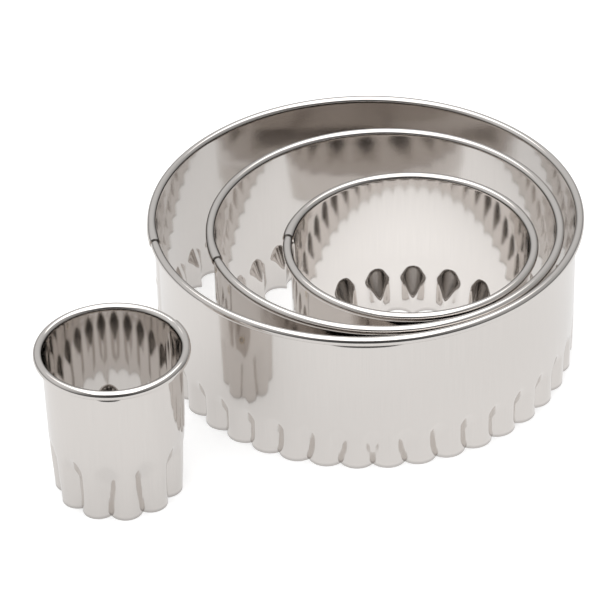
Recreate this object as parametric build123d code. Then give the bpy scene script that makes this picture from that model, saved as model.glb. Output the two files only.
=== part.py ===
from build123d import *
from math import acos, cos, degrees, pi, radians, sin, sqrt
import os

os.makedirs("parts", exist_ok=True)

# A nesting set of four round fluted biscuit cutters in stainless steel.
# Each cutter is a strip bent into a hoop: a scalloped cutting skirt at the
# bottom, a plain wall above it, and a rolled rim curled outwards over a wire.
# Lengths are in millimetres and angles in degrees.
# The set stands on Z = 0, with the origin under the middle of its outline.

# Sheet, rim and seam, alike on all four cutters
sheet = 0.4
cutter_height = 42.6
wire_diameter = 1.6
wire_clearance = 0.02
curl_gap = 0.12
wire_end_gap = 0.6
lap_width = 4.5
sleeve_length = 9.0
sleeve_step = 0.14
weld_diameter = 2.4
weld_count = 3

# Share of the flute height that has the full depth; the rest is the ramp
full_depth_share = 0.42

# Large cutter
large_wall_diameter = 110.9
large_flute_pitch = 8.7
large_flute_height = 12.5
large_flute_depth = 2.1
large_crest_draw = 0.15
large_wall_draw = 0.1
large_valley_angle = 217.3
large_seam_angle = 190.4

# Medium cutter, standing in the large one and narrower by a step
medium_step_down = 21.1
medium_flute_pitch = 9.1
medium_flute_height = 13.0
medium_flute_depth = 2.3
medium_crest_draw = 0.4
medium_wall_draw = 0.1
medium_valley_angle = 142.5
medium_seam_angle = 195.0
medium_gap = 0.15
medium_lean_angle = 310.1

# Small cutter, standing in the medium one and narrower by a step
small_step_down = 27.4
small_flute_pitch = 10.3
small_flute_height = 13.5
small_flute_depth = 2.6
small_crest_draw = 0.4
small_wall_draw = 0.1
small_valley_angle = 87.8
small_seam_angle = 168.0
small_gap = 0.15
small_lean_angle = 309.0

# Tiny cutter, standing beside the large one
tiny_wall_diameter = 35.5
tiny_flute_pitch = 10.1
tiny_flute_height = 18.0
tiny_flute_depth = 2.3
tiny_crest_draw = 0.8
tiny_wall_draw = 0.4
tiny_valley_angle = 264.2
tiny_seam_angle = 35.0
tiny_gap = 9.5
tiny_side_angle = 222.8

# One overrun for every cut
overrun = 1.0

# Sizes that follow from the driving ones
medium_wall_diameter = large_wall_diameter - medium_step_down
small_wall_diameter = medium_wall_diameter - small_step_down
wire_radius = wire_diameter / 2
curl_inner_radius = wire_radius + wire_clearance
bead_radius = curl_inner_radius + sheet
bead_height = cutter_height - bead_radius
lap_top = cutter_height - 2 * bead_radius - curl_gap
curl_end_angle = -degrees(acos((curl_gap - curl_inner_radius) / bead_radius))


class Cutter:
    """The sizes of one cutter, worked out from its driving dimensions."""

    def __init__(self, name, wall_diameter, flute_pitch, flute_height, flute_depth,
                 crest_draw, wall_draw, valley_angle, seam_angle):
        self.name = name
        self.flute_count = round(pi * wall_diameter / flute_pitch)
        self.flute_height = flute_height
        self.tip_height = flute_height * full_depth_share
        self.valley_angle = valley_angle
        self.seam_angle = seam_angle
        self.wall_radius = wall_diameter / 2
        self.skirt_radius = self.wall_radius - wall_draw
        self.crest_radius = self.skirt_radius - crest_draw
        self.valley_radius = self.crest_radius - flute_depth
        self.inner_radius = self.wall_radius - sheet
        self.bead_ring_radius = self.inner_radius + bead_radius
        self.rim_radius = self.bead_ring_radius + bead_radius
        self.half_flute = pi / self.flute_count
        half_chord = self.valley_radius * sin(self.half_flute)
        rise = self.crest_radius - self.valley_radius * cos(self.half_flute)
        self.lobe_radius = (half_chord ** 2 + rise ** 2) / (2 * rise)
        self.lobe_ring_radius = self.crest_radius - self.lobe_radius
        self.centre = (0, 0)

    def valley_at(self, offset):
        """Radius of the valley line of the skirt moved outwards by offset."""
        across = self.lobe_ring_radius * sin(self.half_flute)
        reach = sqrt((self.lobe_radius + offset) ** 2 - across ** 2)
        return self.lobe_ring_radius * cos(self.half_flute) + reach

    def wall_at(self, height):
        """Outer radius of the plain wall, which narrows a little downwards."""
        slope = (self.wall_radius - self.skirt_radius) / (bead_height - self.flute_height)
        return self.wall_radius + slope * (height - bead_height)

    def degrees_of(self, length):
        """Angle round the wall that a length of strip takes up."""
        return degrees(length / self.wall_radius)


def on_circle(radius, angle):
    return (radius * cos(radians(angle)), radius * sin(radians(angle)))


def ring_of(face, start, sweep):
    """Turn a face, drawn in radius and height, round the cutter's axis."""
    return Rot(0, 0, start) * revolve(Plane.XZ * face, Axis.Z, sweep)


def skirt_outline(cutter, offset):
    """One lobe after another, meeting in sharp valleys."""
    step = 360 / cutter.flute_count
    valley = cutter.valley_at(offset)
    crest = cutter.crest_radius + offset
    lobes = []
    for flute in range(cutter.flute_count):
        angle = cutter.valley_angle + flute * step
        start = on_circle(valley, angle)
        middle = on_circle(crest, angle + step / 2)
        end = on_circle(valley, angle + step)
        lobes.append(ThreePointArc(start, middle, end))
    return make_face(lobes)


def filled_body(cutter, offset, bottom, top):
    """The cutter as if it were solid, its surface moved outwards by offset."""
    lobes = extrude(skirt_outline(cutter, offset), cutter.flute_height - bottom)
    profile = make_face(Polyline(
        (0, cutter.tip_height),
        (cutter.valley_at(offset), cutter.tip_height),
        (cutter.skirt_radius + offset, cutter.flute_height),
        (cutter.wall_at(top) + offset, top),
        (0, top),
        close=True,
    ))
    return Pos(0, 0, bottom) * lobes + ring_of(profile, 0, 360)


def curl_face(cutter, inner, outer):
    """The rolled rim cut across: an open curl from the wall over the wire."""
    centre = (cutter.bead_ring_radius, bead_height)
    turn = 180 - curl_end_angle
    outer_arc = CenterArc(centre, outer, curl_end_angle, turn)
    inner_arc = CenterArc(centre, inner, curl_end_angle, turn)
    ends = [Line(outer_arc @ 0, inner_arc @ 0), Line(outer_arc @ 1, inner_arc @ 1)]
    return make_face([outer_arc, inner_arc, *ends])


def lap(cutter):
    """The end of the strip that lies over its other end, outside the hoop."""
    outer = filled_body(cutter, sheet, 0, lap_top)
    inner = filled_body(cutter, 0, -overrun, lap_top + overrun)
    reach = cutter.rim_radius
    corners = [(0, -overrun), (reach, -overrun), (reach, lap_top), (0, lap_top)]
    sector = make_face(Polyline(*corners, close=True))
    sweep = cutter.degrees_of(lap_width)
    return (outer - inner) & ring_of(sector, cutter.seam_angle - sweep, sweep)


def weld_pins(cutter):
    """Round pins through both layers of the lap, one for each spot weld."""
    angle = cutter.seam_angle - cutter.degrees_of(lap_width) / 2
    pitch = (lap_top - cutter.flute_height) / weld_count
    pins = []
    for spot in range(weld_count):
        height = cutter.flute_height + pitch * (spot + 1 / 2)
        pin = Cylinder(weld_diameter / 2, cutter.rim_radius - cutter.valley_radius)
        middle = (cutter.rim_radius + cutter.valley_radius) / 2
        pins.append(Rot(0, 0, angle) * Pos(middle, 0, height) * Rot(0, 90, 0) * pin)
    return pins


def band(cutter):
    """The strip: skirt, wall and rolled rim, with its lapped ends."""
    shell = filled_body(cutter, 0, 0, bead_height)
    shell -= filled_body(cutter, -sheet, -overrun, bead_height + overrun)
    curl = ring_of(curl_face(cutter, curl_inner_radius, bead_radius), 0, 360)
    sleeve_sweep = cutter.degrees_of(sleeve_length)
    sleeve = ring_of(
        curl_face(cutter, bead_radius, bead_radius + sleeve_step),
        cutter.seam_angle - sleeve_sweep,
        sleeve_sweep,
    )
    return shell + curl + lap(cutter) + sleeve


def rim_wire(cutter):
    """The wire in the rolled rim, a ring cut through behind the seam."""
    section = Pos(cutter.bead_ring_radius, bead_height) * Circle(wire_radius)
    cut = cutter.degrees_of(wire_end_gap)
    return ring_of(section, cutter.seam_angle + cut / 2, 360 - cut)


def lean_in(outer, inner, gap, angle):
    """Stand the inner cutter against the outer one's wall, a gap away."""
    rim_room = outer.inner_radius - inner.rim_radius
    skirt_room = outer.valley_at(-sheet) - inner.crest_radius
    x, y = on_circle(min(rim_room, skirt_room) - gap, angle)
    inner.centre = (outer.centre[0] + x, outer.centre[1] + y)


def stand_beside(outer, other, gap, angle):
    """Stand a cutter outside another one, with a gap between their rims."""
    x, y = on_circle(outer.rim_radius + gap + other.rim_radius, angle)
    other.centre = (outer.centre[0] + x, outer.centre[1] + y)


def middle_of(cutters, axis):
    """Middle of the set's outline along X (axis 0) or Y (axis 1)."""
    low = min(cutter.centre[axis] - cutter.rim_radius for cutter in cutters)
    high = max(cutter.centre[axis] + cutter.rim_radius for cutter in cutters)
    return (low + high) / 2


def write_cutter(cutter, origin):
    """Write the three nodes of one cutter where it stands in the set."""
    place = Pos(cutter.centre[0] - origin[0], cutter.centre[1] - origin[1], 0)
    strip = band(cutter)
    welds = []
    for pin in weld_pins(cutter):
        welds.append(strip & pin)
        strip -= pin
    nodes = {"band": strip, "rim_wire": rim_wire(cutter), "seam_welds": Compound(children=welds)}
    for piece, shape in nodes.items():
        export_step(place * shape, f"parts/{cutter.name}_{piece}.step")


large = Cutter("large", large_wall_diameter, large_flute_pitch, large_flute_height, large_flute_depth,
               large_crest_draw, large_wall_draw, large_valley_angle, large_seam_angle)
medium = Cutter("medium", medium_wall_diameter, medium_flute_pitch, medium_flute_height, medium_flute_depth,
                medium_crest_draw, medium_wall_draw, medium_valley_angle, medium_seam_angle)
small = Cutter("small", small_wall_diameter, small_flute_pitch, small_flute_height, small_flute_depth,
               small_crest_draw, small_wall_draw, small_valley_angle, small_seam_angle)
tiny = Cutter("tiny", tiny_wall_diameter, tiny_flute_pitch, tiny_flute_height, tiny_flute_depth,
              tiny_crest_draw, tiny_wall_draw, tiny_valley_angle, tiny_seam_angle)

lean_in(large, medium, medium_gap, medium_lean_angle)
lean_in(medium, small, small_gap, small_lean_angle)
stand_beside(large, tiny, tiny_gap, tiny_side_angle)

cutter_set = [large, medium, small, tiny]
set_origin = (middle_of(cutter_set, 0), middle_of(cutter_set, 1))

for cutter in cutter_set:
    write_cutter(cutter, set_origin)
    x = cutter.centre[0] - set_origin[0]
    y = cutter.centre[1] - set_origin[1]
    print(f"{cutter.name}: centre {x:.3f}, {y:.3f}, rim radius {cutter.rim_radius:.3f}, "
          f"{cutter.flute_count} flutes, inner ridge radius {cutter.valley_at(-sheet):.3f}")
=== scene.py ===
from math import acos, cos, floor, pi, radians, sin

import bpy
from mathutils import Matrix, Vector


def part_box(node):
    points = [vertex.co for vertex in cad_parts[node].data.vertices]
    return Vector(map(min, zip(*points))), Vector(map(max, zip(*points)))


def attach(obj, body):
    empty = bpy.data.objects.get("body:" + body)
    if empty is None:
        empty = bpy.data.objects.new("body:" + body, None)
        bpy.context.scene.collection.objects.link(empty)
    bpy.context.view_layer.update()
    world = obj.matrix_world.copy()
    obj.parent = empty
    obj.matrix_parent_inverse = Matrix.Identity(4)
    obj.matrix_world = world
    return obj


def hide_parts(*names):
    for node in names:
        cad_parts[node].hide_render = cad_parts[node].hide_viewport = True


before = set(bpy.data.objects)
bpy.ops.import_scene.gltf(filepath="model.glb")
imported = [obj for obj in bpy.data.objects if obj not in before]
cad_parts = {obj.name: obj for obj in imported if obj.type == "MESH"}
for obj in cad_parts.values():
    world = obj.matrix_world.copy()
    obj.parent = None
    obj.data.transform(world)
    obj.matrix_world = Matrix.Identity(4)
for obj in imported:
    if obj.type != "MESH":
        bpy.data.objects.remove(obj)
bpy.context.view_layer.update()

bl_info = {
    "name": "Biscuit cutter set",
    "version": (1, 0, 0),
    "blender": (4, 5, 0),
    "location": "3D View > Sidebar > Cutters",
    "description": "Makes a nesting set of fluted biscuit cutters and a white studio round it",
    "category": "Add Mesh",
}

MM = 0.001
CUTTERS = ("large", "medium", "small", "tiny")
PHOTO_WIDTH = 614
SENSOR_WIDTH = 36.0

# Mesh rows of a band: up the flutes, up the wall, up the pinch below the rim, round the curl
FLUTE_ROWS = 26
WALL_ROWS = 4
PINCH_ROWS = 8
CURL_ROWS = 20

# Mesh columns crowd towards the valleys and rows towards the top of the flutes
CROWDING_SHARE = 0.55
ROW_CROWDING_SHARE = 0.5

# Direction of the side of a cutter that faces the camera
FRONT = radians(270.0)

# The sleeve and the tucked end fade out over this many bead radii below the rim
NEAR_RIM = 4.0

# A valley's steep ramp gives way to the gentler one from this share of the drop's height on
DROP_SPREAD = 0.5

# The pinch under the rim starts at this share of the way down to its narrowest place
NECK_START = 0.5

# Ripples change this many times as fast up the wall as along it
RIPPLE_LIFT = 0.15

# Finer noise on the waves and ripples
WAVE_DETAIL = 1.0

# Before the seam the flutes are out of step over the width, and less and less so over the fade
# beyond it. Over the catch, next to the seam, they come back into step
SLIP_WIDTH = radians(50.0)
SLIP_FADE = radians(120.0)
SLIP_CATCH = radians(22.0)

# Mean height of a spot weld's face, and how far its ring stands above that and its dished middle
# below it, as shares of its rise
WELD_MEAN = 0.65
WELD_DISH = 0.35

# Edges that bend by more than this, in degrees, are shaded sharp
SHARP_ANGLE = 50.0

# The polished sheet's fine lines and clouds, and its dull edge, which is some sheets high and darker in
# colour, partly for the dull sheet and partly as painted shade of the floor's contact shadow
LINE_DETAIL = 3.0
CLOUD_DETAIL = 2.0
LINE_SHARE = 0.7
CLOUD_SHARE = 0.3
LINE_SHADE = 0.06
LINE_DEPTH = 0.005 * MM
LINE_BUMP = 0.3
SHEET_SHADE = 1.02
EDGE_SHEETS = 3.0
EDGE_BLUR = 0.15

# Die lines of the wire
DIE_LINE_SCALE = 200.0
DIE_LINE_STRETCH = 60.0
DIE_LINE_DETAIL = 2.0
DIE_LINE_SHADE = 0.15
DIE_LINE_BLUR = 0.16
WIRE_SHADE = 1.05
WIRE_ROUGHNESS = 0.22

# Grain and straw ring of a spot weld
GRAIN_SIZE = 0.2 * MM
GRAIN_DETAIL = 3.0
GRAIN_SPREAD = 0.4
GRAIN_DEPTH = 0.02 * MM
GRAIN_BUMP = 0.5
STRAW_START = 0.6
STRAW_RISE = 1.6
WELD_ROUGHNESS = 0.42
STRAW_POLISH = 0.2

# The room pales from the horizon to the first height, and turns into its ceiling from the second
# on, where straight up is 1
HORIZON_RISE = 0.5
CEILING_START = 0.7
CEILING_FADE = 0.15

# Nearest place that the camera sees
NEAREST_SEEN = 10.0 * MM

# Sockets of a colour mix, which share their names with other ones
MIX_FIRST = 6
MIX_SECOND = 7
MIX_RESULT = 2


# Properties with their names, descriptions and units


def length(name, description, millimetres):
    return bpy.props.FloatProperty(
        name=name, description=description, default=millimetres * MM, min=0.0,
        subtype="DISTANCE", unit="LENGTH", precision=5)


def place(name, description, millimetres):
    return bpy.props.FloatProperty(
        name=name, description=description, default=millimetres * MM,
        subtype="DISTANCE", unit="LENGTH", precision=5)


def angle(name, description, degrees):
    return bpy.props.FloatProperty(
        name=name, description=description, default=radians(degrees),
        subtype="ANGLE", unit="ROTATION")


def count(name, description, default, least):
    return bpy.props.IntProperty(name=name, description=description, default=default, min=least)


def number(name, description, default):
    return bpy.props.FloatProperty(name=name, description=description, default=default, min=0.0)


def colour(name, description, red, green, blue):
    return bpy.props.FloatVectorProperty(
        name=name, description=description, default=(red, green, blue), min=0.0, max=1.0,
        subtype="COLOR")


def group(name, description, kind):
    return bpy.props.PointerProperty(name=name, description=description, type=kind)


# Settings of the cutters


def cutter_sizes(label, flutes, columns, flute_height, flute_depth, crest_draw, wall_draw,
                 valley_angle, seam_angle, slip, mouth_reach):
    """The group of sizes of one cutter, whose place and rim come from the frame."""
    fields = {
        "flutes": count("Flutes", "Scallops round the cutting edge", flutes, 3),
        "columns": count("Columns per flute", "Mesh columns across one scallop", columns, 6),
        "flute_height": length("Flute height", "Height at which the flutes fade out", flute_height),
        "flute_depth": length("Flute depth", "From the crests to the valleys", flute_depth),
        "crest_draw": length(
            "Crest draw", "How far the flutes slant in towards the cutting edge", crest_draw),
        "wall_draw": length("Wall draw", "How much the wall narrows downwards", wall_draw),
        "valley_angle": angle("Valley angle", "Direction of one valley", valley_angle),
        "seam_angle": angle("Seam angle", "Direction of the strip's outer end", seam_angle),
        "slip": angle("Slip", "How far the flutes that lead up to the seam are out of step", slip),
        "mouth_reach": length("Mouth reach", "How far the sleeve goes past that end", mouth_reach),
    }
    members = {"__annotations__": fields, "__doc__": f"Sizes of the {label.lower()} cutter."}
    return type(f"{label}CutterSizes", (bpy.types.PropertyGroup,), members)


LargeCutterSizes = cutter_sizes(
    "Large", flutes=40, columns=20, flute_height=12.5, flute_depth=2.1, crest_draw=0.15,
    wall_draw=0.1, valley_angle=217.3, seam_angle=190.4, slip=4.5, mouth_reach=2.0)
MediumCutterSizes = cutter_sizes(
    "Medium", flutes=31, columns=20, flute_height=13.0, flute_depth=2.3, crest_draw=0.7,
    wall_draw=0.1, valley_angle=142.5, seam_angle=195.0, slip=0.0, mouth_reach=2.5)
SmallCutterSizes = cutter_sizes(
    "Small", flutes=19, columns=36, flute_height=13.2, flute_depth=2.6, crest_draw=2.0,
    wall_draw=0.1, valley_angle=87.8, seam_angle=168.0, slip=0.0, mouth_reach=3.1)
TinyCutterSizes = cutter_sizes(
    "Tiny", flutes=11, columns=30, flute_height=18.0, flute_depth=2.3, crest_draw=0.8,
    wall_draw=0.4, valley_angle=264.2, seam_angle=35.0, slip=0.0, mouth_reach=0.0)


class StripSizes(bpy.types.PropertyGroup):
    """Sizes of the sheet, the rolled rim and the seam, alike on all the cutters."""
    sheet: length("Sheet", "Thickness of the steel", 0.4)
    bead_radius: length("Bead radius", "Outer radius of the rolled rim", 1.22)
    curl_gap: length("Curl gap", "Between the end of the curl and the wall", 0.12)
    lap: length("Lap", "How far the ends of the strip overlap", 4.5)
    joggle: length("Joggle", "Length over which the strip steps out to the lap", 2.5)
    play: length("Play", "Between the two layers of the lap", 0.02)
    sleeve: length("Sleeve", "Length of the swollen end of the rolled rim", 9.0)
    sleeve_fade: length("Sleeve fade", "Part of that length over which the swelling fades", 7.0)
    sleeve_step: length("Sleeve step", "How much thicker the sleeve is", 0.26)
    tuck_step: length("Tuck step", "How much thinner the rim is where it enters the sleeve", 0.10)
    ramp_slope: number("Ramp slope", "How steeply a valley runs out into the wall", 0.33)
    lobe_slope: number("Lobe slope", "How steeply the rest of a flute runs out", 0.15)
    drop_radius: length("Drop radius", "Roundness of the top of the drop where a valley runs out", 3.1)
    drop_height: length("Drop height", "Height of that round top", 3.0)
    ridge_share: number("Ridge share", "Width of a rounded valley, of a flute's", 0.8)
    softness: length("Softness", "Rounding where a flute runs out into the wall", 0.3)
    neck_depth: length("Neck depth", "How far the wall is pinched in under the rim at the front", 0.3)
    neck_spread: angle("Neck spread", "How far round the hoop the pinch goes to each side", 24.0)
    neck_top: length("Neck top", "From the middle of the rim down to the narrowest place", 1.6)
    neck_foot: length("Neck foot", "From the middle of the rim down to the plain wall", 3.0)
    waviness: length("Waviness", "How far the wall strays from a true round", 0.04)
    wave_size: length("Wave size", "Size of one wave of the wall", 22.0)
    ripple: length("Ripple", "How far the upright ripples of the wall stray", 0.012)
    ripple_size: length("Ripple size", "Width of one ripple", 7.0)


class WeldSizes(bpy.types.PropertyGroup):
    """Sizes of the spot welds, alike on all the cutters."""
    welds: count("Welds", "Spot welds down the lap", 3, 1)
    radius: length("Radius", "Radius of one spot weld", 1.2)
    rise: length("Rise", "Height of a spot weld's ring above the sheet", 0.05)
    sides: count("Sides", "Mesh sides round one spot weld", 32, 6)
    rings: count("Rings", "Mesh rings across one spot weld", 8, 2)


class SteelLooks(bpy.types.PropertyGroup):
    """Colours and finish of the steel."""
    polished: colour("Polished", "Colour of the polished sheet", 0.705, 0.672, 0.645)
    wire: colour("Wire", "Colour of the drawn wire", 0.62, 0.61, 0.60)
    weld: colour("Weld", "Colour of a spot weld's middle", 0.50, 0.48, 0.46)
    tint: colour("Heat tint", "Colour of the straw ring round a weld", 0.62, 0.50, 0.34)
    roughness: number("Roughness", "Blur of the polished sheet", 0.07)
    worked_blur: number("Worked blur", "How much the flutes are duller than the wall", 0.05)
    worked_height: length("Worked height", "Height up to which the sheet is duller", 14.0)
    # Darkens the cutting edge, partly for its dull sheet and partly as painted shade of the floor's contact
    # shadow seen in the steel
    dull_edge_and_painted_shade: number("Edge shade", "How much darker the cutting edge is", 0.25)
    streaks: number("Streaks", "How much the fine lines blur the polish", 0.05)
    streak_width: length("Streak width", "Width of one fine line", 0.25)
    streak_length: length("Streak length", "Length of one fine line", 14.0)


class StudioSizes(bpy.types.PropertyGroup):
    """The camera, the floor and the lights."""
    lens: number("Lens", "Focal length in millimetres on a frame 36 mm wide", 205.24)
    distance: length("Distance", "From the camera to the large cutter's foot", 944.862)
    look_down: angle("Look down", "How far the camera looks down", 36.317)
    roll: angle("Roll", "Turn of the camera about its own axis", -0.627)
    aim_column: number("Aim column", "Pixel column of the large cutter's foot in the photograph", 366.808)
    aim_row: number("Aim row", "Pixel row of the large cutter's foot in the photograph", 341.631)
    floor_half: length("Floor half", "Half the side of the floor", 3000.0)
    floor_grey: number("Floor grey", "How white the floor is under the light", 0.8)
    seen_glow: number("Seen glow", "Brightness that the camera adds to the floor", 0.5)
    steel_shade: number("Steel shade", "How white the lit floor is in the steel", 0.35)
    steel_glow: number("Steel glow", "Brightness that the steel adds to the floor near by", 0.60)
    # Painted light: a brighter pool on the floor within the cutters, seen only in the steel, for the light
    # that the polished walls throw onto it
    painted_inner_light: number("Inner glow", "What the steel adds to the floor within the cutters", 0.27)
    inner_reach: length("Inner reach", "Radius of that brighter floor", 75.0)
    far_glow: number("Far glow", "Brightness of the floor further off in the steel", 0.12)
    white_front: length("White front", "From the middle to the front edge of the white in the steel", 180.0)
    white_side: length("White side", "From the middle to the other edges of that white", 500.0)
    white_fade: length("White fade", "Length over which that white fades", 30.0)
    lamp_width: length("Lamp width", "Width of the overhead softbox", 640.0)
    lamp_length: length("Lamp length", "Length of the softbox from front to back", 1050.0)
    lamp_height: length("Lamp height", "Height of the overhead softbox", 600.0)
    lamp_shift: place("Lamp shift", "How far the softbox lies behind the middle", -50.0)
    lamp_level: number("Lamp level", "Brightness of the softbox, where 1 is white", 1.4)
    front_level: number("Front level", "Brightness of the room behind the camera", 0.09)
    left_level: number("Left level", "Brightness of the room at the left", 0.75)
    right_level: number("Right level", "Brightness of the room at the right", 0.45)
    back_level: number("Back level", "Brightness of the room behind the set", 0.70)
    horizon_share: number("Horizon share", "How much darker the room is at table height", 0.45)
    ceiling_level: number("Ceiling level", "Brightness of the room above", 0.85)


class CutterSetSettings(bpy.types.PropertyGroup):
    """All the settings of the set and its studio."""
    large: group("Large", "Large cutter", LargeCutterSizes)
    medium: group("Medium", "Medium cutter", MediumCutterSizes)
    small: group("Small", "Small cutter", SmallCutterSizes)
    tiny: group("Tiny", "Tiny cutter", TinyCutterSizes)
    strip: group("Strip", "Sheet, rim and seam", StripSizes)
    welds: group("Welds", "Spot welds", WeldSizes)
    steel: group("Steel", "Finish of the steel", SteelLooks)
    studio: group("Studio", "Camera, floor and lights", StudioSizes)


# Node trees written as plain sums


class Field:
    """A value in a node tree, so that the tree's sums can be written as plain ones."""

    def __init__(self, tree, socket):
        self.tree = tree
        self.socket = socket

    def math(self, operation, *others):
        node = self.tree.nodes.new("ShaderNodeMath")
        node.operation = operation
        for value, socket in zip((self, *others), node.inputs):
            feed(self.tree, value, socket)
        return Field(self.tree, node.outputs[0])

    def __add__(self, other):
        return self.math("ADD", other)

    def __sub__(self, other):
        return self.math("SUBTRACT", other)

    def __mul__(self, other):
        return self.math("MULTIPLY", other)

    def __truediv__(self, other):
        return self.math("DIVIDE", other)

    def __radd__(self, other):
        return self + other

    def __rmul__(self, other):
        return self * other

    def __rsub__(self, other):
        return self * -1.0 + other

    def __rtruediv__(self, other):
        return self.math("POWER", -1.0) * other

    def clamp(self, low=0.0, high=1.0):
        return self.math("MAXIMUM", low).math("MINIMUM", high)

    def ease(self):
        """From 0 to 1 along a soft S."""
        share = self.clamp()
        return share * share * (3.0 - 2.0 * share)

    def cosine(self):
        return self.math("COSINE")

    def sine(self):
        return self.math("SINE")

    def root(self):
        return self.math("MAXIMUM", 0.0).math("SQRT")


def feed(tree, value, socket):
    """Put a field or a plain value into a socket."""
    if isinstance(value, Field):
        tree.links.new(value.socket, socket)
    else:
        socket.default_value = value


def blend(low, high, share):
    return low + (high - low) * share


def vector(tree, x, y, z):
    node = tree.nodes.new("ShaderNodeCombineXYZ")
    for value, socket in zip((x, y, z), node.inputs):
        feed(tree, value, socket)
    return Field(tree, node.outputs[0])


def parts_of(tree, socket):
    """The x, y and z of a vector socket."""
    node = tree.nodes.new("ShaderNodeSeparateXYZ")
    tree.links.new(socket, node.inputs[0])
    return [Field(tree, output) for output in node.outputs]


def noise(tree, at, scale, detail):
    """A smooth random value, from 0 to 1, that changes from place to place."""
    node = tree.nodes.new("ShaderNodeTexNoise")
    feed(tree, at, node.inputs["Vector"])
    feed(tree, scale, node.inputs["Scale"])
    feed(tree, detail, node.inputs["Detail"])
    return Field(tree, node.outputs[0])


def swing(tree, at, size):
    """A smooth random value, from -1 to 1, with waves of a size."""
    return noise(tree, at, 1.0 / size, WAVE_DETAIL) * 2.0 - 1.0


# Geometry trees and the plain meshes that they leave


def geometry_tree(name, labels):
    """A geometry tree with one named input for each number, and one for the material."""
    tree = bpy.data.node_groups.new(name, "GeometryNodeTree")
    tree.interface.new_socket(name="Geometry", in_out="OUTPUT", socket_type="NodeSocketGeometry")
    for label in labels:
        tree.interface.new_socket(name=label, in_out="INPUT", socket_type="NodeSocketFloat")
    tree.interface.new_socket(name="Material", in_out="INPUT", socket_type="NodeSocketMaterial")
    source = tree.nodes.new("NodeGroupInput")
    return tree, {label: Field(tree, source.outputs[label]) for label in (*labels, "Material")}


def chart(tree, geometry, strip):
    """Store a flat place for each corner, so that a material can follow the strip."""
    node = tree.nodes.new("GeometryNodeStoreNamedAttribute")
    node.data_type = "FLOAT2"
    node.domain = "CORNER"
    node.inputs["Name"].default_value = "UVMap"
    tree.links.new(geometry, node.inputs["Geometry"])
    feed(tree, strip, node.inputs["Value"])
    return node.outputs["Geometry"]


def moved(tree, geometry, target):
    node = tree.nodes.new("GeometryNodeSetPosition")
    tree.links.new(geometry, node.inputs["Geometry"])
    feed(tree, target, node.inputs["Position"])
    return node.outputs["Geometry"]


def realized(tree, geometry):
    node = tree.nodes.new("GeometryNodeRealizeInstances")
    tree.links.new(geometry, node.inputs["Geometry"])
    return node.outputs["Geometry"]


def end_tree(tree, geometry, material):
    """Close a geometry tree with smooth shading, real instances and the material."""
    smooth = tree.nodes.new("GeometryNodeSetShadeSmooth")
    tree.links.new(geometry, smooth.inputs["Geometry"])
    paint = tree.nodes.new("GeometryNodeSetMaterial")
    tree.links.new(realized(tree, smooth.outputs["Geometry"]), paint.inputs["Geometry"])
    feed(tree, material, paint.inputs["Material"])
    target = tree.nodes.new("NodeGroupOutput")
    tree.links.new(paint.outputs["Geometry"], target.inputs["Geometry"])


def grow(name, tree, values, thickness=0.0):
    """Run a geometry tree and keep what it makes as a plain mesh piece."""
    scaffold = bpy.data.objects.new(f"{name}_scaffold", bpy.data.meshes.new(f"{name}_scaffold"))
    bpy.context.scene.collection.objects.link(scaffold)
    modifier = scaffold.modifiers.new("Shape", "NODES")
    modifier.node_group = tree
    for item in tree.interface.items_tree:
        if item.in_out == "INPUT":
            modifier[item.identifier] = values[item.name]
    if thickness:
        shell = scaffold.modifiers.new("Thickness", "SOLIDIFY")
        shell.thickness = thickness
        shell.offset = 0.0
        shell.use_even_offset = True
    bpy.context.view_layer.update()
    shape = scaffold.evaluated_get(bpy.context.evaluated_depsgraph_get())
    mesh = bpy.data.meshes.new_from_object(shape)
    mesh.name = name
    mesh.set_sharp_from_angle(angle=radians(SHARP_ANGLE))
    bpy.data.objects.remove(scaffold)
    piece = bpy.data.objects.new(name, mesh)
    bpy.context.scene.collection.objects.link(piece)
    return piece


# Where the frame puts each cutter


class Place:
    """Centre and rim of one cutter, read from its wire in the frame."""

    def __init__(self, cutter):
        low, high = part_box(f"{cutter}_rim_wire")
        self.centre = (low + high) / 2
        self.wire_radius = (high.z - low.z) / 2
        self.rim_ring = (high.x - low.x) / 2 - self.wire_radius


SHARED_INPUTS = (
    "Centre X", "Centre Y", "Rim ring", "Bead height", "Bead radius", "Sheet", "Flute height",
    "Wall draw", "Seam angle", "Lap", "Play", "Waviness", "Wave size", "Ripple", "Ripple size",
)


def shared_values(cutter, settings):
    """What both the band and its welds need to know of a cutter."""
    sizes = getattr(settings, cutter)
    strip = settings.strip
    where = Place(cutter)
    return {
        "Centre X": where.centre.x,
        "Centre Y": where.centre.y,
        "Rim ring": where.rim_ring,
        "Bead height": where.centre.z,
        "Bead radius": strip.bead_radius,
        "Sheet": strip.sheet,
        "Flute height": sizes.flute_height,
        "Wall draw": sizes.wall_draw,
        "Seam angle": sizes.seam_angle,
        "Lap": strip.lap,
        "Play": strip.play,
        "Waviness": strip.waviness,
        "Wave size": strip.wave_size,
        "Ripple": strip.ripple,
        "Ripple size": strip.ripple_size,
    }


def outer_wall(size):
    return size["Rim ring"] - size["Bead radius"] + size["Sheet"]


def narrowing(size, height):
    """How much narrower the wall is at a height than at the rim."""
    below_rim = size["Bead height"] - height
    return size["Wall draw"] * (below_rim / (size["Bead height"] - size["Flute height"])).clamp()


def stray(tree, size, direction, height):
    """How far the wall strays from a true round at a direction and height."""
    x = direction.cosine() * outer_wall(size)
    y = direction.sine() * outer_wall(size)
    waves = swing(tree, vector(tree, x, y, height), size["Wave size"]) * size["Waviness"]
    upright = vector(tree, x, y, height * RIPPLE_LIFT)
    return waves + swing(tree, upright, size["Ripple size"]) * size["Ripple"]


def on_hoop(tree, size, radius, direction, height):
    x = size["Centre X"] + radius * direction.cosine()
    y = size["Centre Y"] + radius * direction.sine()
    return vector(tree, x, y, height)


# The fluted band

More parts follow.
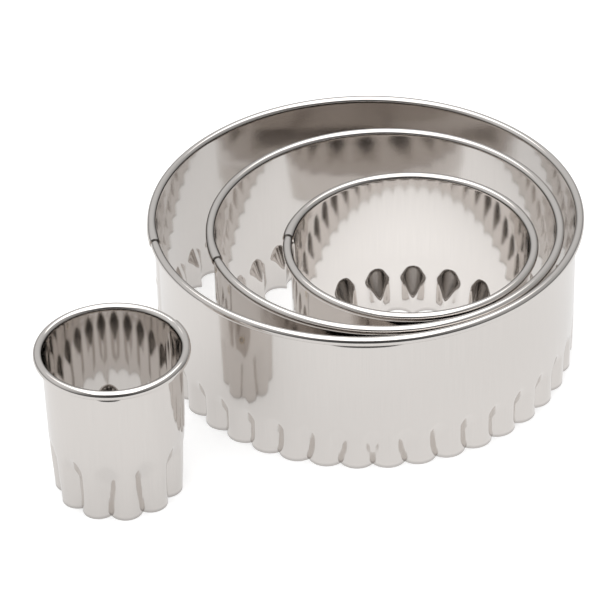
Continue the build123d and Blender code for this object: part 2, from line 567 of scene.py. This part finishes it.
BAND_INPUTS = SHARED_INPUTS + (
    "First column", "Last column", "Curl turn", "Flutes", "Columns per flute", "Flute depth",
    "Crest draw", "Valley angle", "Slip", "Mouth reach", "Joggle", "Sleeve", "Sleeve fade", "Sleeve step",
    "Tuck step", "Ramp slope", "Lobe slope", "Drop radius", "Drop height", "Ridge share", "Softness",
    "Neck depth", "Neck spread", "Neck top", "Neck foot",
)


def band_tree():
    """The strip as a grid, with columns round the hoop and rows up the wall and round the curl."""
    tree, size = geometry_tree("Fluted band", BAND_INPUTS)
    sheet = size["Sheet"]
    curl = size["Bead radius"] - sheet * 0.5
    wall = outer_wall(size)
    half_flute = pi / size["Flutes"]

    # The scallops are arcs that meet in valleys
    crest = wall - size["Wall draw"]
    valley = crest - size["Flute depth"]
    half_chord = valley * half_flute.sine()
    rise = crest - valley * half_flute.cosine()
    lobe = (half_chord * half_chord + rise * rise) / (rise * 2.0)
    lobe_ring = crest - lobe

    # The strip goes once round and on over the lap
    start = size["Seam angle"] - size["Lap"] / wall
    end = size["Seam angle"] + 2.0 * pi
    columns = size["Last column"] - size["First column"]
    rows = FLUTE_ROWS + WALL_ROWS + PINCH_ROWS + CURL_ROWS
    grid = tree.nodes.new("GeometryNodeMeshGrid")
    feed(tree, columns + 1.0, grid.inputs["Vertices X"])
    feed(tree, rows + 1, grid.inputs["Vertices Y"])
    at = tree.nodes.new("GeometryNodeInputPosition")
    across, up, _ = parts_of(tree, at.outputs[0])
    column = ((across + 0.5) * columns).math("ROUND")
    row = (up + 0.5) * float(rows)

    # Columns crowd towards the valleys, and the first and the last are the strip's ends
    turns = (size["First column"] + column) / size["Columns per flute"]
    flute = turns.math("FLOOR")
    share = turns - flute
    share = share - (share * (2.0 * pi)).sine() * (CROWDING_SHARE / (2.0 * pi))
    direction = size["Valley angle"] + (flute + share) * half_flute * 2.0
    direction = blend(direction, start, 1.0 - column.clamp())
    direction = blend(direction, end, (column - columns + 1.0).clamp())
    flutes_off = (direction - size["Valley angle"]) / (half_flute * 2.0)
    share = flutes_off - flutes_off.math("FLOOR")

    # Before the seam the flutes are out of step, as hand-joined ones are
    before_end = end - direction
    slipping = 1.0 - ((before_end - SLIP_WIDTH) / SLIP_FADE).ease()
    direction = direction + size["Slip"] * slipping * (before_end / SLIP_CATCH).ease()

    # Rows go up the flutes, up the wall and round the curl
    flute_top = size["Flute height"] + sheet
    pinch_foot = size["Bead height"] - size["Neck foot"]
    up_flutes = (row / float(FLUTE_ROWS)).clamp()
    up_flutes = up_flutes + up_flutes * (1.0 - up_flutes) * ROW_CROWDING_SHARE
    up_wall = ((row - float(FLUTE_ROWS)) / float(WALL_ROWS)).clamp()
    up_pinch = ((row - float(FLUTE_ROWS + WALL_ROWS)) / float(PINCH_ROWS)).clamp()
    round_curl = ((row - float(rows - CURL_ROWS)) / float(CURL_ROWS)).clamp()
    height = flute_top * up_flutes + (pinch_foot - flute_top) * up_wall + size["Neck foot"] * up_pinch
    curled = size["Curl turn"] * round_curl

    # One end of the strip is tucked into the sleeve, which is the other end
    near_rim = ((height - size["Bead height"]) / (size["Bead radius"] * NEAR_RIM) + 1.0).ease()
    reach = size["Mouth reach"] * near_rim
    past_lap = (direction - start) * wall - size["Lap"] - reach
    tucked = 1.0 - (past_lap / size["Joggle"]).ease()
    before_mouth = (end - direction) * wall
    before_fade = before_mouth - size["Sleeve"] + size["Sleeve fade"]
    sleeved = 1.0 - (before_fade / size["Sleeve fade"]).ease()
    swell = size["Sleeve step"] * sleeved - size["Tuck step"] * tucked
    step_out = (sheet + size["Play"]) * tucked * (1.0 - near_rim)
    direction = direction + reach / wall * (1.0 - (before_mouth / size["Sleeve"]).ease())

    # The valleys are sharp at the cutting edge and rounded above
    off_crest = (share * 2.0 - 1.0) * half_flute
    sideways = lobe_ring * off_crest.sine()
    lobe_middle = lobe - sheet * 0.5
    outline = lobe_ring * off_crest.cosine() + (lobe_middle * lobe_middle - sideways * sideways).root()
    sharp = crest - sheet * 0.5 - outline
    from_valley = (half_flute - off_crest.math("ABSOLUTE")) * wall
    ridge = from_valley / (half_flute * wall * size["Ridge share"])
    rounded = size["Flute depth"] * (1.0 - ridge.ease())
    ramp_foot = size["Flute height"] - size["Flute depth"] / size["Ramp slope"]
    scallop = blend(sharp, rounded, (height / ramp_foot).ease())

    # It is no deeper than the ramp that it runs out on, steep and round-topped at the valley
    hollow = from_valley * from_valley / size["Drop radius"]
    beyond = (hollow / size["Drop height"] - DROP_SPREAD).ease()
    slope = blend(size["Ramp slope"], size["Lobe slope"], beyond)
    below_top = size["Flute height"] - height - hollow.math("SMOOTH_MIN", size["Drop height"], sheet)
    ramp = (below_top * slope).math("SMOOTH_MAX", 0.0, size["Softness"])
    slant = (1.0 - height / size["Flute height"]).clamp() * size["Crest draw"]
    softness = ramp.math("MINIMUM", size["Softness"])
    depth = scallop.math("SMOOTH_MIN", ramp, softness) + slant

    # The wall is pinched in under the rim at the front
    under_rim = size["Bead height"] - height
    pinch = ((size["Neck foot"] - under_rim) / (size["Neck foot"] - size["Neck top"])).ease()
    started = (under_rim / size["Neck top"] - NECK_START) / (1.0 - NECK_START)
    neck = size["Neck depth"] * pinch * started.ease()
    off_front = (direction - FRONT).math("ABSOLUTE")
    neck = neck * (1.0 - (off_front / size["Neck spread"]).ease())

    # Everything together
    bead = (curl + swell * near_rim) * (curled + pi).cosine()
    radius = size["Rim ring"] + bead + step_out - depth - neck - narrowing(size, height)
    radius = radius + stray(tree, size, direction, height)
    place_of = on_hoop(tree, size, radius, direction, height + (curl + swell) * curled.sine())
    strip = vector(tree, direction * wall, height + curl * curled, 0.0)
    end_tree(tree, moved(tree, chart(tree, grid.outputs["Mesh"], strip), place_of), size["Material"])
    return tree


def curl_turn(strip):
    """How far the sheet turns over the wire before its end comes back to the wall."""
    inner = strip.bead_radius - strip.sheet
    return pi + acos((strip.curl_gap - inner) / strip.bead_radius)


def column_near(sizes, direction):
    """The number of the mesh column that stands nearest to a direction."""
    turns = (direction - sizes.valley_angle) * sizes.flutes / (2.0 * pi)
    flute = floor(turns)

    def distance(column):
        share = column / sizes.columns
        crowded = share - sin(2.0 * pi * share) * CROWDING_SHARE / (2.0 * pi)
        return abs(flute + crowded - turns)

    return flute * sizes.columns + min(range(sizes.columns + 1), key=distance)


def make_band(cutter, settings, tree, material):
    sizes = getattr(settings, cutter)
    strip = settings.strip
    values = shared_values(cutter, settings)
    wall = outer_wall(values)
    values.update({
        "First column": float(column_near(sizes, sizes.seam_angle - strip.lap / wall)),
        "Last column": float(column_near(sizes, sizes.seam_angle + 2.0 * pi)),
        "Curl turn": curl_turn(strip),
        "Flutes": float(sizes.flutes),
        "Columns per flute": float(sizes.columns),
        "Flute depth": sizes.flute_depth,
        "Crest draw": sizes.crest_draw,
        "Valley angle": sizes.valley_angle,
        "Slip": sizes.slip,
        "Mouth reach": sizes.mouth_reach,
        "Joggle": strip.joggle,
        "Sleeve": strip.sleeve,
        "Sleeve fade": strip.sleeve_fade,
        "Sleeve step": strip.sleeve_step,
        "Tuck step": strip.tuck_step,
        "Ramp slope": strip.ramp_slope,
        "Lobe slope": strip.lobe_slope,
        "Drop radius": strip.drop_radius,
        "Drop height": strip.drop_height,
        "Ridge share": strip.ridge_share,
        "Softness": strip.softness,
        "Neck depth": strip.neck_depth,
        "Neck spread": strip.neck_spread,
        "Neck top": strip.neck_top,
        "Neck foot": strip.neck_foot,
        "Material": material,
    })
    piece = grow(f"{cutter}_fluted_band", tree, values, strip.sheet)

    # The slanted flutes are ground flat where they stand on the table
    for vertex in piece.data.vertices:
        vertex.co.z = max(vertex.co.z, 0.0)
    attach(piece, f"{cutter}_cutter")
    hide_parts(f"{cutter}_band")


# The spot welds

WELD_INPUTS = SHARED_INPUTS + ("Welds", "Radius", "Rise", "Sides", "Rings")


def weld_tree():
    """Closed buttons through both layers of the lap, dished on each side, laid on the wall."""
    tree, size = geometry_tree("Spot welds", WELD_INPUTS)
    sheet = size["Sheet"]
    wall = outer_wall(size)
    lap_top = size["Bead height"] - size["Bead radius"]
    pitch = (lap_top - size["Flute height"]) / size["Welds"]

    button = tree.nodes.new("GeometryNodeMeshCylinder")
    feed(tree, size["Sides"], button.inputs["Vertices"])
    feed(tree, size["Rings"], button.inputs["Fill Segments"])
    feed(tree, size["Radius"], button.inputs["Radius"])
    feed(tree, sheet * 2.0 + size["Play"], button.inputs["Depth"])
    at = tree.nodes.new("GeometryNodeInputPosition")
    x, y, z = parts_of(tree, at.outputs[0])
    from_middle = (x * x + y * y).root() / size["Radius"]
    ring = (from_middle * (2.0 * pi) - 0.5 * pi).sine() * WELD_DISH + WELD_MEAN
    ring = ring * (1.0 - from_middle * from_middle * from_middle * from_middle)
    dished = vector(tree, x, y, z + z.math("SIGN") * size["Rise"] * ring)
    shaped = moved(tree, chart(tree, button.outputs["Mesh"], vector(tree, x, y, 0.0)), dished)

    line = tree.nodes.new("GeometryNodeMeshLine")
    feed(tree, size["Welds"], line.inputs["Count"])
    tree.links.new(vector(tree, 0.0, size["Flute height"] + pitch * 0.5, 0.0).socket,
                   line.inputs["Start Location"])
    tree.links.new(vector(tree, 0.0, pitch, 0.0).socket, line.inputs["Offset"])
    spots = tree.nodes.new("GeometryNodeInstanceOnPoints")
    tree.links.new(line.outputs["Mesh"], spots.inputs["Points"])
    tree.links.new(shaped, spots.inputs["Instance"])

    laid = tree.nodes.new("GeometryNodeInputPosition")
    along, height, through = parts_of(tree, laid.outputs[0])
    direction = size["Seam angle"] + (along - size["Lap"] * 0.5) / wall
    radius = wall + size["Play"] * 0.5 + through - narrowing(size, height)
    radius = radius + stray(tree, size, direction, height)
    on_wall = on_hoop(tree, size, radius, direction, height)
    end_tree(tree, moved(tree, realized(tree, spots.outputs["Instances"]), on_wall), size["Material"])
    return tree


def make_welds(cutter, settings, tree, material):
    welds = settings.welds
    values = shared_values(cutter, settings)
    values.update({
        "Welds": float(welds.welds),
        "Radius": welds.radius,
        "Rise": welds.rise,
        "Sides": float(welds.sides),
        "Rings": float(welds.rings),
        "Material": material,
    })
    piece = grow(f"{cutter}_spot_welds", tree, values)
    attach(piece, f"{cutter}_cutter")
    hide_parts(f"{cutter}_seam_welds")


# Materials


def metal(name, base, roughness):
    """A metal with its shader, ready for patterns."""
    material = bpy.data.materials.new(name)
    material.use_nodes = True
    tree = material.node_tree
    shader = tree.nodes["Principled BSDF"]
    shader.inputs["Base Color"].default_value = (*base, 1.0)
    shader.inputs["Metallic"].default_value = 1.0
    shader.inputs["Roughness"].default_value = roughness
    return material, tree, shader


def coordinates(tree, output):
    node = tree.nodes.new("ShaderNodeTexCoord")
    return parts_of(tree, node.outputs[output])


def bump(tree, shader, height, distance, strength):
    node = tree.nodes.new("ShaderNodeBump")
    node.inputs["Strength"].default_value = strength
    node.inputs["Distance"].default_value = distance
    feed(tree, height, node.inputs["Height"])
    tree.links.new(node.outputs["Normal"], shader.inputs["Normal"])


def shaded(tree, base, share):
    """A colour made a little darker by a share that changes from place to place."""
    node = tree.nodes.new("ShaderNodeVectorMath")
    node.operation = "SCALE"
    node.inputs[0].default_value = base
    feed(tree, share, node.inputs["Scale"])
    return Field(tree, node.outputs[0])


def mixed(tree, first, second, share):
    node = tree.nodes.new("ShaderNodeMix")
    node.data_type = "RGBA"
    feed(tree, share, node.inputs["Factor"])
    node.inputs[MIX_FIRST].default_value = (*first, 1.0)
    node.inputs[MIX_SECOND].default_value = (*second, 1.0)
    return Field(tree, node.outputs[MIX_RESULT])


def polished_steel(settings):
    """Bright sheet with fine lines that run up the strip, and a dull cutting edge."""
    steel = settings.steel
    material, tree, shader = metal("polished_steel", steel.polished, steel.roughness)
    along, up, _ = coordinates(tree, "UV")
    fine = vector(tree, along / steel.streak_width, up / steel.streak_length, 0.0)
    lines = noise(tree, fine, 1.0, LINE_DETAIL)
    cloud = noise(tree, vector(tree, along, up, 0.0), 1.0 / settings.strip.wave_size, CLOUD_DETAIL)
    edge = 1.0 - (up / (settings.strip.sheet * EDGE_SHEETS)).ease()
    worked = (2.0 - up / steel.worked_height * 2.0).ease()
    streaks = (lines * lines * LINE_SHARE + cloud * CLOUD_SHARE) * steel.streaks
    roughness = steel.roughness + streaks + edge * EDGE_BLUR + worked * steel.worked_blur
    feed(tree, roughness, shader.inputs["Roughness"])
    # Painted shade: the cutting edge is darkened partly for its dull sheet and partly for the floor's
    # contact shadow that the steel shows there
    shade = SHEET_SHADE - lines * LINE_SHADE - edge * steel.dull_edge_and_painted_shade
    feed(tree, shaded(tree, steel.polished, shade), shader.inputs["Base Color"])
    bump(tree, shader, lines, LINE_DEPTH, LINE_BUMP)
    return material


def drawn_wire(settings):
    """Wire with die lines round its ring."""
    steel = settings.steel
    material, tree, shader = metal("drawn_wire", steel.wire, WIRE_ROUGHNESS)
    x, y, z = coordinates(tree, "Object")
    fine = vector(tree, x, y, z * DIE_LINE_STRETCH)
    lines = noise(tree, fine, DIE_LINE_SCALE, DIE_LINE_DETAIL)
    feed(tree, WIRE_ROUGHNESS + lines * DIE_LINE_BLUR, shader.inputs["Roughness"])
    shade = WIRE_SHADE - lines * DIE_LINE_SHADE
    feed(tree, shaded(tree, steel.wire, shade), shader.inputs["Base Color"])
    return material


def spot_weld(settings):
    """A dull grey middle in a straw ring."""
    steel = settings.steel
    material, tree, shader = metal("spot_weld", steel.weld, WELD_ROUGHNESS)
    x, y, _ = coordinates(tree, "UV")
    from_middle = (x * x + y * y).root() / settings.welds.radius
    grain = noise(tree, vector(tree, x, y, 0.0), 1.0 / GRAIN_SIZE, GRAIN_DETAIL)
    tinted = (from_middle * STRAW_RISE - STRAW_START + (grain - 0.5) * GRAIN_SPREAD).ease()
    feed(tree, mixed(tree, steel.weld, steel.tint, tinted), shader.inputs["Base Color"])
    feed(tree, WELD_ROUGHNESS - tinted * STRAW_POLISH, shader.inputs["Roughness"])
    bump(tree, shader, grain, GRAIN_DEPTH, GRAIN_BUMP)
    return material


# The studio


def stage_material(name):
    material = bpy.data.materials.new(name)
    material.use_nodes = True
    tree = material.node_tree
    tree.nodes.clear()
    return material, tree


def seen_directly(tree):
    node = tree.nodes.new("ShaderNodeLightPath")
    return Field(tree, node.outputs["Is Camera Ray"]), Field(tree, node.outputs["Is Glossy Ray"])


def grey(tree, level):
    return vector(tree, level, level, level)


def white_floor(studio):
    """White to the camera and in the steel near by, with the shadows of the set kept."""
    material, tree = stage_material("white_floor")
    x, y, _ = coordinates(tree, "Object")
    reach = (x.math("ABSOLUTE") - studio.white_side).math("MAXIMUM", y - studio.white_side)
    reach = reach.math("MAXIMUM", -studio.white_front - y)
    white = 1.0 - (reach / studio.white_fade + 0.5).ease()
    camera, glossy = seen_directly(tree)
    white = white.math("MAXIMUM", camera)
    diffuse = tree.nodes.new("ShaderNodeBsdfDiffuse")
    matt = studio.floor_grey * (1.0 - glossy) + studio.steel_shade * glossy
    feed(tree, grey(tree, matt * white), diffuse.inputs["Color"])
    glow = tree.nodes.new("ShaderNodeEmission")
    # Painted light: within the cutters the floor glows brighter in the steel, for the light that the
    # polished walls throw onto it
    middle = Place("small").centre
    off_x = x - middle.x
    off_y = y - middle.y
    within = 1.0 - ((off_x * off_x + off_y * off_y).root() / studio.inner_reach).ease()
    in_steel = blend(studio.far_glow, studio.steel_glow, white) + within * studio.painted_inner_light
    feed(tree, camera * studio.seen_glow + glossy * in_steel, glow.inputs["Strength"])
    both = tree.nodes.new("ShaderNodeAddShader")
    tree.links.new(diffuse.outputs[0], both.inputs[0])
    tree.links.new(glow.outputs[0], both.inputs[1])
    target = tree.nodes.new("ShaderNodeOutputMaterial")
    tree.links.new(both.outputs[0], target.inputs["Surface"])
    return material


def make_floor(studio):
    half = studio.floor_half
    mesh = bpy.data.meshes.new("studio_floor")
    corners = [(-half, -half, 0.0), (half, -half, 0.0), (half, half, 0.0), (-half, half, 0.0)]
    mesh.from_pydata(corners, [], [(0, 1, 2, 3)])
    mesh.materials.append(white_floor(studio))
    floor = bpy.data.objects.new("studio_floor", mesh)
    bpy.context.scene.collection.objects.link(floor)


def make_room(studio):
    """A room that is dark behind the camera and paler at the sides, behind and above."""
    world = bpy.data.worlds.new("studio_room")
    bpy.context.scene.world = world
    world.use_nodes = True
    tree = world.node_tree
    right, back, up = coordinates(tree, "Generated")
    walls = ((back, studio.back_level), (-1.0 * back, studio.front_level),
             (right, studio.right_level), (-1.0 * right, studio.left_level))
    seen = [(toward.clamp() * toward.clamp(), level) for toward, level in walls]
    level = sum(share * level for share, level in seen) / sum(share for share, _ in seen)
    level = level * blend(studio.horizon_share, 1.0, (up / HORIZON_RISE).ease())
    level = blend(level, studio.ceiling_level, ((up - CEILING_START) / CEILING_FADE).ease())
    camera, _ = seen_directly(tree)
    background = tree.nodes["Background"]
    feed(tree, blend(level, 1.0, camera), background.inputs["Strength"])
    background.inputs["Color"].default_value = (1.0, 1.0, 1.0, 1.0)


def make_lamp(studio):
    """One large softbox overhead, whose power follows from how bright it has to look."""
    lamp = bpy.data.lights.new("softbox", "AREA")
    lamp.shape = "RECTANGLE"
    lamp.size = studio.lamp_width
    lamp.size_y = studio.lamp_length
    lamp.energy = studio.lamp_level * pi * studio.lamp_width * studio.lamp_length
    softbox = bpy.data.objects.new("softbox", lamp)
    softbox.location = (0.0, studio.lamp_shift, studio.lamp_height)
    softbox.visible_camera = False
    bpy.context.scene.collection.objects.link(softbox)


def make_camera(studio):
    """The photograph's view: it looks down on the large cutter, which stands off its middle."""
    data = bpy.data.cameras.new("photo_camera")
    data.sensor_width = SENSOR_WIDTH
    data.lens = studio.lens
    data.clip_start = NEAREST_SEEN
    look = Vector((0.0, cos(studio.look_down), -sin(studio.look_down)))
    side = Vector((1.0, 0.0, 0.0))
    up = side.cross(look)
    right = side * cos(studio.roll) + up * sin(studio.roll)
    above = up * cos(studio.roll) - side * sin(studio.roll)
    straight = Matrix((right, above, -look)).transposed()
    pixels = studio.lens * PHOTO_WIDTH / SENSOR_WIDTH
    off_x = (studio.aim_column - PHOTO_WIDTH / 2) / pixels
    off_y = (PHOTO_WIDTH / 2 - studio.aim_row) / pixels
    turn = Vector((off_x, off_y, -1.0)).rotation_difference(Vector((0.0, 0.0, -1.0)))
    foot = Place("large").centre.copy()
    foot.z = 0.0
    camera = bpy.data.objects.new("photo_camera", data)
    rotation = (straight @ turn.to_matrix()).to_4x4()
    camera.matrix_world = Matrix.Translation(foot - look * studio.distance) @ rotation
    bpy.context.scene.collection.objects.link(camera)
    bpy.context.scene.camera = camera
    bpy.context.scene.view_settings.view_transform = "Standard"


# Operators, panel and registration


class CUTTERS_OT_bands(bpy.types.Operator):
    """Make the four fluted bands with their rolled rims"""
    bl_idname = "cutters.bands"
    bl_label = "Fluted bands"

    def execute(self, context):
        settings = context.scene.cutter_set
        tree = band_tree()
        material = polished_steel(settings)
        for cutter in CUTTERS:
            make_band(cutter, settings, tree, material)
        return {"FINISHED"}


class CUTTERS_OT_rim_wires(bpy.types.Operator):
    """Finish the wires inside the rolled rims"""
    bl_idname = "cutters.rim_wires"
    bl_label = "Rim wires"

    def execute(self, context):
        material = drawn_wire(context.scene.cutter_set)
        for cutter in CUTTERS:
            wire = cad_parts[f"{cutter}_rim_wire"]
            wire.data.materials.clear()
            wire.data.materials.append(material)
        return {"FINISHED"}


class CUTTERS_OT_seam_welds(bpy.types.Operator):
    """Make the spot welds that hold the lapped ends of each strip"""
    bl_idname = "cutters.seam_welds"
    bl_label = "Seam welds"

    def execute(self, context):
        settings = context.scene.cutter_set
        tree = weld_tree()
        material = spot_weld(settings)
        for cutter in CUTTERS:
            make_welds(cutter, settings, tree, material)
        return {"FINISHED"}


class CUTTERS_OT_stage(bpy.types.Operator):
    """Make the white floor, the room, the softbox and the camera"""
    bl_idname = "cutters.stage"
    bl_label = "Studio"

    def execute(self, context):
        studio = context.scene.cutter_set.studio
        make_floor(studio)
        make_room(studio)
        make_lamp(studio)
        make_camera(studio)
        return {"FINISHED"}


class CUTTERS_PT_set(bpy.types.Panel):
    """Lists what the set is made of and its settings"""
    bl_idname = "CUTTERS_PT_set"
    bl_label = "Biscuit cutter set"
    bl_space_type = "VIEW_3D"
    bl_region_type = "UI"
    bl_category = "Cutters"

    def draw(self, context):
        settings = context.scene.cutter_set
        for operator in OPERATORS:
            self.layout.operator(operator.bl_idname)
        for part in settings.bl_rna.properties:
            if part.type == "POINTER" and part.identifier != "rna_type":
                box = self.layout.box()
                box.label(text=part.name)
                values = getattr(settings, part.identifier)
                for field in type(values).__annotations__:
                    box.prop(values, field)


OPERATORS = (CUTTERS_OT_bands, CUTTERS_OT_rim_wires, CUTTERS_OT_seam_welds, CUTTERS_OT_stage)
GROUPS = (LargeCutterSizes, MediumCutterSizes, SmallCutterSizes, TinyCutterSizes, StripSizes,
          WeldSizes, SteelLooks, StudioSizes, CutterSetSettings)
CLASSES = (*GROUPS, *OPERATORS, CUTTERS_PT_set)


def register():
    for item in CLASSES:
        bpy.utils.register_class(item)
    bpy.types.Scene.cutter_set = group("Cutter set", "Biscuit cutter set", CutterSetSettings)


def unregister():
    del bpy.types.Scene.cutter_set
    for item in reversed(CLASSES):
        bpy.utils.unregister_class(item)


def main():
    register()
    bpy.ops.cutters.bands()
    bpy.ops.cutters.rim_wires()
    bpy.ops.cutters.seam_welds()
    bpy.ops.cutters.stage()


if __name__ == "__main__":
    main()
